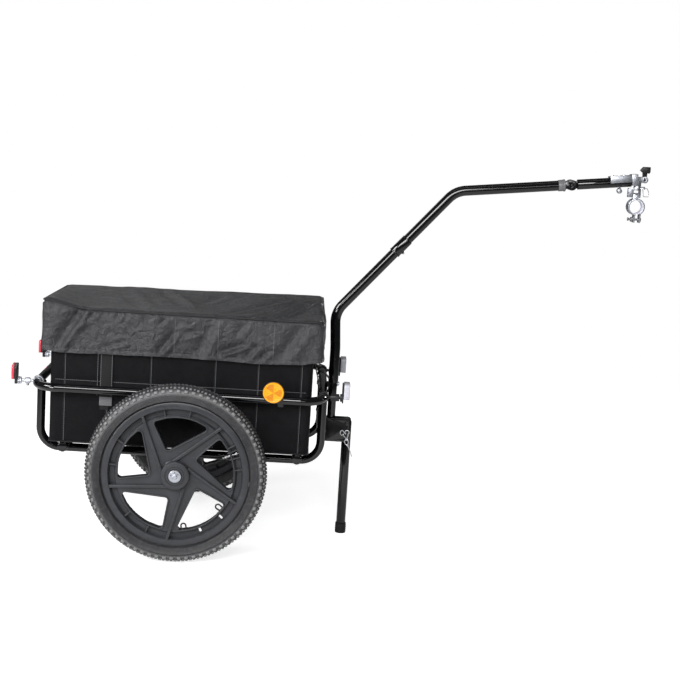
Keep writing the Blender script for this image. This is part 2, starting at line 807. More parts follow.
    def curved(self, path: Sequence[Place], steps: int) -> list[Vector]:
        """More points along a path, so that it runs through its own in a smooth curve."""
        points = [Vector(place) for place in path]
        ends = [points[0] * 2 - points[1], *points, points[-1] * 2 - points[-2]]
        made = []
        for before, first, second, after in zip(ends, ends[1:], ends[2:], ends[3:]):
            square = before * 2 - first * 5 + second * 4 - after
            cube = first * 3 - before - second * 3 + after
            for step in range(steps):
                t = step / steps
                made.append((first * 2 + (second - before) * t + (square * t * t + cube * t ** 3)) / 2)
        return [*made, points[-1]]

    def strip(self, path: Sequence[Place], across: Place, thick: float, segments: int = 2) -> Thing:
        """A flat strap along a path; `across` is its full width as a vector."""
        across = Vector(across)
        points = [Vector(point) for point in path]
        made = self.point(points[0])
        for before, after in zip(points, points[1:]):
            self.extrude(after - before)
        bpy.ops.mesh.select_all(action="SELECT")
        bpy.ops.transform.translate(value=-across / 2)
        for _ in range(segments):
            self.extrude(across / segments)
        self.done(made, 0.000001)
        self.modify(made, "SOLIDIFY", thickness=thick, offset=0.0)
        return self.soften(made, thick * 0.3, 2, 40)

    def carve(self, thing: Thing, tool: Thing) -> Thing:
        """Cuts a tool's shape out of a piece and removes the tool."""
        self.modify(thing, "BOOLEAN", operation="DIFFERENCE", solver="EXACT", use_self=True, object=tool)
        bpy.data.objects.remove(tool, do_unlink=True)
        return thing

    def ring_of(self, thing: Thing, count: int) -> Thing:
        """Repeats a piece round the Y axis."""
        bpy.ops.object.empty_add(location=(0, 0, 0), rotation=(0, 2 * math.pi / count, 0))
        step = bpy.context.object
        bpy.context.view_layer.update()
        self.modify(thing, "ARRAY", count=count, use_relative_offset=False, use_object_offset=True,
                    offset_object=step)
        bpy.data.objects.remove(step, do_unlink=True)
        return thing

    def reshape(self, thing: Thing, move: Callable[[Vector], Vector]) -> Thing:
        """Moves every vertex to the place that a function gives."""
        for vertex in thing.data.vertices:
            vertex.co = move(vertex.co.copy())
        thing.data.update()
        return thing


@dataclass
class Layout:
    """Where the frame stands: turns sizes taken from the axle into the frame's coordinates."""

    frame: dict
    axle_x: float = 0.0

    def __post_init__(self) -> None:
        """Reads the axle's place from the wheel's joint."""
        joint = next(j for j in self.frame["joints"] if j["name"] == "wheel_spin_left")
        self.axle_x = joint["pos_m"][0]

    def at(self, x: float, y: float, z: float) -> Vector:
        """A point that is given from the axle, in the frame's coordinates."""
        return Vector((x + self.axle_x, y, z))

    def node(self, name: str) -> Thing:
        """One of the frame's nodes."""
        return self.frame["nodes"][name]


@dataclass
class Workshop:
    """Hands finished pieces over: material, slot, body and the nodes that a piece stands for."""

    layout: Layout
    bench: Bench

    def dress(self, thing: Thing, finish: Finish) -> None:
        """Gives a piece one material."""
        thing.data.materials.clear()
        thing.data.materials.append(finish.material())

    def keep(self, node: str, finish: Finish) -> None:
        """Keeps a CAD node as it is, in a better material."""
        self.dress(self.layout.node(node), finish)

    def deliver(self, name: str, parts: list[Thing], finish: Finish, body: str = "frame",
                node: str = "", sharp: float = 38.0) -> Thing:
        """Joins parts to a piece, dresses it, lets it ride on its body and hides the node that it replaces.

        Args:
            name: the piece's name.
            parts: what it is joined from.
            finish: its look.
            body: the body that it rides on.
            node: the CAD node that it stands for, if any.
            sharp: the angle over which an edge stays sharp, or nought to leave the shading as it is.

        Returns:
            The finished piece.
        """
        piece = self.bench.join(name, parts)
        if sharp > 0:
            self.bench.smooth(piece, sharp)
        self.dress(piece, finish)
        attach(piece, body)
        if node:
            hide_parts(node)
        LOG.info("%s rides on %s", piece.name, body)
        return piece

    def replace(self, node: str, parts: list[Thing], finish: Finish, body: str = "frame",
                sharp: float = 38.0) -> Thing:
        """Delivers parts as the look of one CAD node."""
        return self.deliver(node + "_look", parts, finish, body, node, sharp)

    def renew(self, node: str, finish: Finish, body: str = "frame", bevel: float = 0.0004) -> None:
        """Replaces a node by its own refined copy."""
        made = self.bench.refined(self.layout.node(node), bevel)
        self.replace(node, [made], finish, body, sharp=0)


@dataclass
class Assembly:
    """What every sub-assembly has: the workshop, with short ways to its bench and its places."""

    shop: Workshop

    @property
    def bench(self) -> Bench:
        """The workshop's bench."""
        return self.shop.bench

    def at(self, x: float, y: float, z: float) -> Vector:
        """A point that is given from the axle, in the frame's coordinates."""
        return self.shop.layout.at(x, y, z)


@dataclass(frozen=True)
class Lamp:
    """A soft box that looks at a point."""

    name: str
    place: tuple
    target: tuple
    power: float
    wide: float
    tall: float

    def hang(self) -> None:
        """Adds the lamp to the scene."""
        data = bpy.data.lights.new(self.name, "AREA")
        data.shape = "RECTANGLE"
        data.size = self.wide
        data.size_y = self.tall
        data.energy = self.power
        lamp = bpy.data.objects.new(self.name, data)
        lamp.location = self.place
        lamp.rotation_euler = (Vector(self.target) - Vector(self.place)).to_track_quat("-Z", "Y").to_euler()
        bpy.context.scene.collection.objects.link(lamp)


LAMPS = (
    Lamp("key", (-0.8, -3.2, 2.2), (-0.2, 0, 0.35), 116.0, 2.8, 1.0),
    Lamp("low", (-2.7, -2.9, 0.9), (-0.4, -0.2, 0.4), 46.0, 1.0, 0.8),
    Lamp("left", (-3.2, -1.6, 2.2), (0.1, 0, 0.60), 76.0, 1.4, 1.0),
    Lamp("front", (0.6, -3.6, 1.5), (0.0, 0, 0.40), 12.0, 2.2, 0.20),
    Lamp("top", (-0.2, -0.4, 2.9), (-0.2, 0, 0.3), 2.5, 2.2, 0.10),
    Lamp("back", (-1.3, 3.2, 2.3), (0.0, 0, 0.35), 9.0, 1.6, 0.80),
    Lamp("back_right", (2.9, 3.1, 1.6), (0.0, 0, 0.35), 78.0, 1.2, 0.80),
)


@dataclass
class Studio:
    """The camera, the floor and the plain soft light."""

    layout: Layout
    place: tuple = (0.243, -3.1564, 1.0011)
    yaw: float = math.radians(1.911)
    pitch: float = math.radians(9.57)
    roll: float = math.radians(3.659)
    focal_pixels: float = 1358.4
    picture: float = 680.0
    sensor: float = 36.0
    glow: float = 0.05
    floor_radius: float = 3.2
    fade: tuple = (0.9, 2.6)

    def camera(self) -> None:
        """Stands the camera where the photograph was taken from."""
        ahead = Vector((math.sin(self.yaw) * math.cos(self.pitch), math.cos(self.yaw) * math.cos(self.pitch),
                        -math.sin(self.pitch)))
        right = Vector((math.cos(self.yaw), -math.sin(self.yaw), 0.0))
        up = right.cross(ahead)
        right_rolled = right * math.cos(self.roll) + up * math.sin(self.roll)
        up_rolled = up * math.cos(self.roll) - right * math.sin(self.roll)
        data = bpy.data.cameras.new("view")
        data.sensor_width = self.sensor
        data.lens = self.focal_pixels * self.sensor / self.picture
        camera = bpy.data.objects.new("view", data)
        pose = Matrix((right_rolled, up_rolled, -ahead)).transposed().to_4x4()
        pose.translation = self.layout.at(*self.place)
        camera.matrix_world = pose
        bpy.context.scene.collection.objects.link(camera)
        bpy.context.scene.camera = camera

    def world(self) -> None:
        """White for the eye, nearly black as a light and in what mirrors it."""
        world = bpy.data.worlds.new("studio")
        bpy.context.scene.world = world
        graph = ShaderGraph(world)
        graph.tree.nodes.clear()
        eye, glossy, through = (graph.node("ShaderNodeLightPath", output="Is %s Ray" % word)
                                for word in ("Camera", "Glossy", "Transmission"))
        seen = eye.most(glossy.most(through) * self.glow)
        dim, white = (graph.node("ShaderNodeBackground", None, {"Color": colour, "Strength": strength})
                      for colour, strength in (((0.97, 0.98, 1.0), self.glow), ((1.0, 1.0, 1.0), 1.0)))
        both = graph.node("ShaderNodeMixShader", None, {0: seen, 1: dim, 2: white})
        out = graph.tree.nodes.new("ShaderNodeOutputWorld")
        graph.feed(out.inputs["Surface"], both)

    def floor(self, bench: Bench) -> None:
        """A round white floor that keeps the trailer's soft shadow and fades out at its edge."""
        bench.clear()
        bpy.ops.mesh.primitive_circle_add(vertices=96, radius=self.floor_radius, fill_type="NGON",
                                          location=(0, 0, -0.0006))
        floor = bench.named("studio_floor")
        white = bpy.data.materials.new("white_floor")
        graph = ShaderGraph(white)
        seen = graph.node("ShaderNodeLightPath", output="Is Camera Ray")
        across, along, _ = graph.axes(graph.place())
        reach = (across * across + along * along).power(0.5)
        colour = graph.coats((0.90, 0.90, 0.90), (graph.cloud(3.0, 3.0) * 0.04, (0.86, 0.86, 0.86)))
        glow = graph.coats((0.0, 0.0, 0.0), (seen, (0.66, 0.66, 0.66)))
        graph.surface(colour, 0.9, Specular_IOR_Level=0.0, Emission_Strength=1.0, Emission_Color=glow,
                      Alpha=1 - reach.between(*self.fade))
        floor.data.materials.append(white)

    def build(self, bench: Bench) -> None:
        """Sets up the studio."""
        self.camera()
        self.world()
        for lamp in LAMPS:
            lamp.hang()
        bpy.context.scene.view_settings.view_transform = "Standard"
        self.floor(bench)


@dataclass
class FrameTubes(Assembly):
    """The welded tube frame: ring, side frames, cross tubes, post and drawbar tubes."""

    tube_radius: float = 0.0095
    bead_thick: float = 0.0017
    bead_inset: float = 0.0088
    ring_front: float = 0.3145
    ring_rear: float = 0.3250
    ring_half: float = 0.2250
    ring_z: float = 0.3637
    ring_bend: float = 0.0580
    rail_z: float = 0.2045
    side_y: float = 0.1200
    side_bend: float = 0.0450
    cross_radius: float = 0.0110
    cross_z: float = 0.2230
    cross_x: float = 0.2620
    cross_half: float = 0.1950
    cap_inset: float = 0.0008
    crossbar_z: float = 0.2737
    post_x: float = 0.3385
    post_radius: float = 0.0097
    foot_z: float = 0.3672
    sleeve: float = 0.0830
    bar_radius: float = 0.01175
    low_bend: tuple = (0.3335, 0, 0.5346)
    high_bend: tuple = (0.5942, 0, 0.8337)
    foot_bend: float = 0.2000
    bar_bend: float = 0.0600
    socket_start: float = 0.1960
    socket_length: float = 0.0400
    socket_radius: float = 0.0133
    button_x: float = 0.014
    arm_end: tuple = (0.83600, 0, 0.86185)

    def bead(self, centre: Vector, normal: Place, radius: float) -> Thing:
        """A weld bead round a joint, rippled as it was laid."""

        def ripple(co: Vector) -> Vector:
            """Swells and thins the bead along its run."""
            away = co - centre
            wave = 1 + 0.018 * math.sin(away.x * 2600) * math.cos(away.y * 2400 + away.z * 2500)
            return centre + away * wave

        bench = self.bench
        return bench.reshape(bench.torus(radius, self.bead_thick, 48, centre, aimed(normal)), ripple)

    def ring(self) -> None:
        """The rail round the box, with the beads where the side frames meet it."""
        at = self.at
        corners = [at(x, side * self.ring_half, self.ring_z) for x, side in
                   ((self.ring_front, -1), (self.ring_front, 1), (-self.ring_rear, 1), (-self.ring_rear, -1))]
        parts = [self.bench.tube(corners, self.tube_radius, self.ring_bend, closed=True, steps=14)]
        for x in (-self.ring_rear, self.ring_front):
            for side in Side:
                spot = at(x, side.value * self.side_y, self.ring_z - self.bead_inset)
                parts.append(self.bead(spot, UP, self.tube_radius * 0.98))
        self.shop.replace("ring_rail", parts, PAINT)

    def sides(self) -> None:
        """The two U tubes under the ring."""
        front, rear, rail, top = self.ring_front, -self.ring_rear, self.rail_z, self.ring_z - 0.0060
        for side in Side:
            corners = [self.at(x, side.value * self.side_y, z)
                       for x, z in ((rear, top), (rear, rail), (front, rail), (front, top))]
            made = self.bench.tube(corners, self.tube_radius, self.side_bend)
            self.shop.replace("side_frame_" + side.word, [made], PAINT)

    def crosses(self) -> None:
        """The tubes across the rails, the axle plates and the crossbar."""
        at = self.at
        rod = self.bench.rod
        half, z = self.cross_half, self.cross_z
        for word, x in (("front", self.cross_x), ("rear", -self.cross_x)):
            parts = [rod(at(x, -half, z), at(x, half, z), self.cross_radius, 32, 0.0008)]
            parts += [rod(at(x, s * (half - 0.0004), z), at(x, s * (half + 0.0014), z),
                          self.cross_radius - self.cap_inset, 28, 0.0006) for s in (-1, 1)]
            parts += [self.bead(at(x, s * self.side_y, z - 0.0085), UP, 0.0088) for s in (-1, 1)]
            self.shop.replace("cross_tube_" + word, parts, PAINT)
        self.shop.renew("cross_tube_middle", PAINT, bevel=0.0007)
        end, x, z = self.side_y - 0.004, self.ring_front, self.crossbar_z
        parts = [rod(at(x, -end, z), at(x, end, z), self.tube_radius)]
        parts += [self.bead(at(x, s * (self.side_y - self.bead_inset), z), (0, 1, 0), self.tube_radius)
                  for s in (-1, 1)]
        self.shop.replace("front_crossbar", parts, PAINT)

    def post(self) -> None:
        """The upright in front of the ring, and the bolt through both with its washer."""
        at = self.at
        bench = self.bench
        self.shop.renew("lower_post", PAINT, bevel=0.0005)
        bolt = bench.refined(self.shop.layout.node("post_bolt"), 0.0005)
        x = self.post_x + self.post_radius
        washer = bench.rod(at(x, 0, self.ring_z), at(x + 0.0012, 0, self.ring_z), 0.0068, 28, 0.0003)
        self.shop.replace("post_bolt", [bolt, washer], ZINC)

    def drawbar(self) -> None:
        """The lower and upper drawbar tubes with the socket and the snap button between them."""
        shop, at = self.shop, self.at
        rod, tube = self.bench.rod, self.bench.tube
        low, high = at(*self.low_bend), at(*self.high_bend)
        along = (high - low).normalized()
        start = low + along * self.socket_start
        end = start + along * self.socket_length
        path = [at(self.post_x, 0, self.foot_z), at(self.post_x, 0, self.foot_z + self.sleeve), low, end]
        lower = tube(path, self.bar_radius, [0, self.foot_bend, self.bar_bend, 0], steps=14)
        collar = rod(at(self.post_x, 0, self.foot_z - 0.0002), at(self.post_x, 0, self.foot_z + 0.0016),
                     self.bar_radius + 0.0004, 32, 0.0003)
        shop.replace("drawbar_lower", [lower, collar], PAINT)
        upper = tube([end, high, at(*self.arm_end)], self.bar_radius, self.bar_bend, steps=16)
        sleeve = rod(start, end + along * 0.004, self.socket_radius, 36, 0.0012)
        lip = rod(start - along * 0.0005, start + along * 0.0035, self.socket_radius + 0.0006, 36, 0.0008)
        shop.replace("drawbar_upper", [upper, sleeve, lip], PAINT)
        down = Vector((along.z, 0.0, -along.x))
        root = start + along * self.button_x
        inner, outer = self.socket_radius - 0.0008, self.socket_radius + 0.0006
        rim = rod(root + down * inner, root + down * outer, 0.0046, 24, 0.0004)
        shop.deliver("snap_button_rim", [rim], SATIN)
        button = rod(root + down * 0.006, root + down * (self.socket_radius + 0.0043), 0.0030, 24, 0.0012)
        shop.replace("snap_button", [button], ZINC, "drawbar_button")

    def build(self) -> None:
        """Builds the frame's tubes."""
        self.ring()
        self.sides()
        self.crosses()
        self.post()
        self.drawbar()


@dataclass
class Stand(Assembly):
    """The folding stand: bracket, leg, rubber foot, lock pin and its wire clip."""

    leg_x: float = 0.3778
    leg_radius: float = 0.0110
    foot_ribs: tuple = (0.0045, 0.0048, 4)
    clip_y: float = -0.0202
    clip_wire: float = 0.0011
    clip_tail: tuple = ((0.3836, 0.2165), (0.3745, 0.2255), (0.3742, 0.2315), (0.3800, 0.2390))
    clip_loops: tuple = (((0.3782, 0.2512), (0.0048, 0.0050), -55), ((0.3662, 0.2500), (0.0040, 0.0056), 40))
    clip_leg: tuple = ((0.3708, 0.2430), (0.3778, 0.2350), (0.3826, 0.2290), (0.3822, 0.2225),
                       (0.3842, 0.2150), (0.3885, 0.2050), (0.3932, 0.1925))

    def foot(self) -> None:
        """The leg's rubber foot with its ribs."""
        shop, bench = self.shop, self.bench
        parts = [bench.refined(shop.layout.node("stand_foot"))]
        first, pitch, count = self.foot_ribs
        for level in range(count):
            z = first + level * pitch
            rib = bench.torus(self.leg_radius + 0.0016, 0.0007, 40, self.at(self.leg_x, 0, z))
            parts.append(bench.reshape(rib, lambda co, z=z: Vector((co.x, co.y, z + (co.z - z) * 1.5))))
        shop.replace("stand_foot", parts, BLACK_RUBBER, "stand")

    def clip(self) -> None:
        """The curly R-shaped wire through the lock pin: two loops, a wave and a straight tail."""
        path = list(self.clip_tail)
        for (x, z), (wide, tall), start in self.clip_loops:
            for step in range(9):
                angle = math.radians(start + step * 36)
                path.append((x + wide * math.cos(angle), z + tall * math.sin(angle)))
        places = [self.at(x, self.clip_y, z) for x, z in [*path, *self.clip_leg]]
        bench = self.bench
        made = bench.wire(bench.curved(places, 5), self.clip_wire)
        self.shop.replace("r_clip", [made], BRIGHT_WIRE, "clip", 60)

    def build(self) -> None:
        """Builds the stand."""
        self.shop.renew("stand_bracket", SATIN, bevel=0.0006)
        self.shop.renew("stand_pivot_bolt", DARK_METAL)
        self.shop.renew("stand_leg", PAINT, "stand")
        self.foot()
        self.shop.renew("lock_pin", ZINC, "clip")
        self.clip()


@dataclass
class CargoBox(Assembly):
    """The board-stiffened box with its welts, stitching, straps and floor."""

    front: float = 0.2860
    rear: float = 0.2925
    half: float = 0.2000
    low: float = 0.2343
    high: float = 0.5395
    wall: float = 0.0045
    corner: float = 0.0105
    foot_round: float = 0.004
    rim_drop: float = 0.0080
    long_seams: tuple = (-0.2600, -0.1660, -0.0710, 0.0710, 0.1660, 0.2620)
    short_seams: tuple = (-0.1650, -0.0550, 0.0550, 0.1650)
    line_z: float = 0.3785
    strap_x: float = -0.1683
    strap_width: float = 0.0285
    strap_run: tuple = ((0.3245, 0.0002), (0.3350, 0.0004), (0.3450, 0.0005), (0.3600, 0.0009),
                        (0.3750, 0.0012), (0.3950, 0.0008), (0.4200, 0.0006), (0.4400, 0.0003),
                        (0.4520, 0.0002))

    @property
    def ends(self) -> tuple:
        """How far the front, the rear and the sides stand from the axle's middle."""
        return self.front, self.rear, self.half

    def drop(self, x: float, y: float) -> float:
        """How far the soft rim hangs at a place, most at the far rear corner."""
        back = held((self.front - x) / (self.front + self.rear))
        far = held((y + self.half) / (2 * self.half))
        return self.rim_drop * back * far

    def puff(self, x: float, y: float, z: float, away: Vector) -> float:
        """How far a wall stands out at a place."""
        long_side = abs(away.y) > abs(away.x)
        run = x if long_side else y
        seams = self.long_seams if long_side else self.short_seams
        valley = hump(min(abs(run - seam) for seam in seams), 0.0035)
        side = 3.1 if long_side else 7.7
        layer = side + (5 if away.x + away.y > 0 else 0)
        wave = noise.noise(Vector((run * 9.0, z * 11.0, layer))) * 0.0012
        fine = noise.noise(Vector((run * 34.0, z * 40.0, side + 9))) * 0.0003
        return 0.0007 + wave + fine - 0.0009 * valley - 0.0006 * hump(z - 0.378, 0.004)

    def shell(self) -> None:
        """The box itself: five panels sewn together, a little puffed between their seams."""
        bench = self.bench
        axle = self.shop.layout.axle_x
        foot = self.foot_round
        inset = (self.rear - self.corner, self.half - self.corner, self.front - self.corner)
        box = bench.sewn_box(self.ends, (self.low, self.high), self.low, axle, (96, 66, 52))

        def soften(co: Vector) -> Vector:
            """Rounds the corners, puffs the panels and lets the rim hang."""
            x = co.x - axle
            core = Vector((max(-inset[0], min(inset[2], x)), max(-inset[1], min(inset[1], co.y)),
                           max(self.low + foot, co.z)))
            away = Vector((x, co.y, co.z)) - core
            place = core
            if away.length > 1e-6:
                away.normalize()
                place = Vector((core.x + away.x * self.corner, core.y + away.y * self.corner,
                                core.z + away.z * foot))
            place = place + Vector((away.x, away.y, 0.0)) * self.puff(place.x, place.y, place.z, away)
            share = held((place.z - self.low - 0.15) / (self.high - self.low - 0.15))
            return Vector((place.x + axle, place.y, place.z - self.drop(place.x, place.y) * share))

        bench.reshape(box, soften)
        bench.modify(box, "SOLIDIFY", thickness=self.wall, offset=-1.0)
        self.shop.replace("box_shell", [box], BOX_CLOTH, sharp=60)

    def welts(self) -> None:
        """The sewn welts down each wall, the stitched line above the ring and both bindings."""
        bench = self.bench
        at = self.at
        welt, thread = 0.0042, 0.0009
        cords = []
        threads = []

        def upright(x: float, y: float, across: Place, thick: float, segments: int = 2) -> Thing:
            """A strip from the box's foot to just under its rim."""
            path = [at(x, y, self.low + 0.006), at(x, y, self.high - 0.020)]
            return bench.strip(path, across, thick, segments)

        for side in (-1, 1):
            for x in self.long_seams:
                cords.append(upright(x, side * (self.half + 0.0004), (welt, 0, 0), 0.0012))
                threads.append(upright(x + 0.0010, side * (self.half + 0.00115), (thread, 0, 0), 0.0005, 1))
            face = side * (self.half + 0.0007)
            line = [at(-self.rear + 0.012, face, self.line_z), at(self.front - 0.012, face, self.line_z)]
            threads.append(bench.strip(line, (0, 0, 0.0011), 0.0006, 1))
        for x, sign in ((-self.rear, -1), (self.front, 1)):
            for y in self.short_seams:
                cords.append(upright(x + sign * 0.0004, y, (0, welt, 0), 0.0012))
                threads.append(upright(x + sign * 0.00115, y + 0.001, (0, thread, 0), 0.0005, 1))
        corners = [at(x, side * self.half, self.low + 0.0035) for x, side in
                   ((self.front, -1), (self.front, 1), (-self.rear, 1), (-self.rear, -1))]
        cords.append(bench.tube(corners, 0.0019, self.corner, closed=True, sides=12, steps=6))
        reach = self.corner + 0.0006 - self.wall / 2
        rim = [at(x, y, self.high - self.drop(x, y) - 0.0016)
               for x, y in rounded_loop(self.ends, self.corner, reach, 5, 8)]
        cords.append(bench.wire(rim, 0.0026, closed=True))
        self.shop.deliver("box_welts", cords, DARK_PIPING)
        self.shop.deliver("box_stitching", threads, THREAD, sharp=0)

    def straps(self, side: Side) -> None:
        """One side's strap with its stitched edges, hook patch and tab."""
        strip, deliver = self.bench.strip, self.shop.deliver
        s, word, x = side.value, side.word, self.strap_x
        at = self.at
        y = s * (self.half + 0.0016)
        path = [at(x, y + s * lift, z) for z, lift in self.strap_run]
        self.shop.replace("strap_" + word, [strip(path, (self.strap_width, 0, 0), 0.0019)], STRAP)
        lines = []
        for edge, lift in ((-0.0120, 1), (0.0120, 1), (-0.0195, 0.2)):
            run = [at(x + edge, y + s * 0.0022 * lift, z) for z in (0.3470, 0.4000, 0.4500)]
            lines.append(strip(run, (0.0012, 0, 0), 0.0006, 1))
        deliver("strap_stitches_" + word, lines, THREAD, sharp=0)
        patch = strip([at(x, y + s * 0.0020, 0.3250), at(x, y + s * 0.0022, 0.3450)],
                      (self.strap_width - 0.0006, 0, 0), 0.0012)
        deliver("hook_patch_" + word, [patch], PATCH)
        tab = strip([at(x - 0.003, y, 0.3262), at(x - 0.003, y + s * 0.0006, 0.3150)], (0.0190, 0, 0), 0.0014)
        deliver("strap_tab_" + word, [tab], STRAP)

    def front_loop(self) -> None:
        """The strap that leaves the box's front and goes round the ring."""
        bench = self.bench
        loop = bench.refined(self.shop.layout.node("strap_front"))
        bench.soften(loop, 0.0005, 2, 50)
        self.shop.replace("strap_front", [loop], STRAP, sharp=50)

    def build(self) -> None:
        """Builds the box."""
        self.shell()
        self.welts()
        for side in Side:
            self.straps(side)
        self.front_loop()
        self.shop.keep("floor_board", FLOOR_BOARD)


@dataclass(frozen=True)
class Fold:
    """A soft crease between two points of a wall, with a long shaded side and a short lit one."""

    start: tuple
    end: tuple
    depth: float
    shaded: float
    lit: float

    def at(self, run: float, level: float) -> float:
        """How far the cloth is drawn in at a place on the wall."""
        along = (self.end[0] - self.start[0], self.end[1] - self.start[1])
        length = math.hypot(*along)
        along = (along[0] / length, along[1] / length)
        away = (run - self.start[0], level - self.start[1])
        travel = (away[0] * along[0] + away[1] * along[1]) / length
        if travel < -0.25 or travel > 1.25:
            return 0.0
        off = away[0] * -along[1] + away[1] * along[0]
        ease = eased(held((travel + 0.25) / 0.4) * held((1.25 - travel) / 0.4))
        ridge = 0.75 * hump(off - 1.7 * self.lit, 1.1 * self.lit)
        return self.depth * ease * (hump(off, self.shaded if off < 0 else self.lit) - ridge)


NEAR_FOLDS = (
    Fold((-0.222, 0.540), (-0.272, 0.458), 0.0125, 0.013, 0.0075),
    Fold((-0.200, 0.531), (-0.232, 0.505), 0.0035, 0.009, 0.006),
    Fold((-0.020, 0.498), (-0.052, 0.452), 0.0075, 0.011, 0.006),
    Fold((0.060, 0.525), (0.036, 0.452), 0.0060, 0.016, 0.010),
    Fold((0.128, 0.478), (0.078, 0.455), 0.0070, 0.010, 0.005),
    Fold((0.160, 0.478), (0.138, 0.450), 0.0060, 0.009, 0.005),
    Fold((0.190, 0.470), (0.168, 0.448), 0.0045, 0.008, 0.005),
    Fold((0.255, 0.525), (0.214, 0.455), 0.0085, 0.015, 0.012),
    Fold((0.135, 0.530), (0.112, 0.500), 0.0035, 0.010, 0.007),
    Fold((0.030, 0.505), (-0.010, 0.492), 0.0035, 0.007, 0.006),
    Fold((-0.190, 0.538), (-0.205, 0.524), 0.0035, 0.005, 0.004),
    Fold((-0.140, 0.536), (-0.150, 0.522), 0.0035, 0.005, 0.004),
    Fold((-0.068, 0.538), (-0.074, 0.524), 0.0030, 0.005, 0.004),
    Fold((-0.034, 0.536), (-0.052, 0.516), 0.0035, 0.006, 0.004),
    Fold((-0.130, 0.470), (-0.180, 0.452), 0.0030, 0.007, 0.005),
)
TOP_FOLDS = (
    Fold((0.262, 0.110), (0.150, -0.190), 0.0060, 0.012, 0.008),
    Fold((0.292, 0.080), (0.205, -0.180), 0.0060, 0.010, 0.006),
    Fold((0.225, 0.120), (0.090, -0.120), 0.0040, 0.016, 0.012),
    Fold((0.060, 0.150), (0.020, 0.030), 0.0030, 0.018, 0.014),
    Fold((-0.190, 0.160), (-0.110, -0.120), 0.0040, 0.018, 0.014),
    Fold((-0.080, 0.150), (-0.020, -0.060), 0.0035, 0.018, 0.014),
)


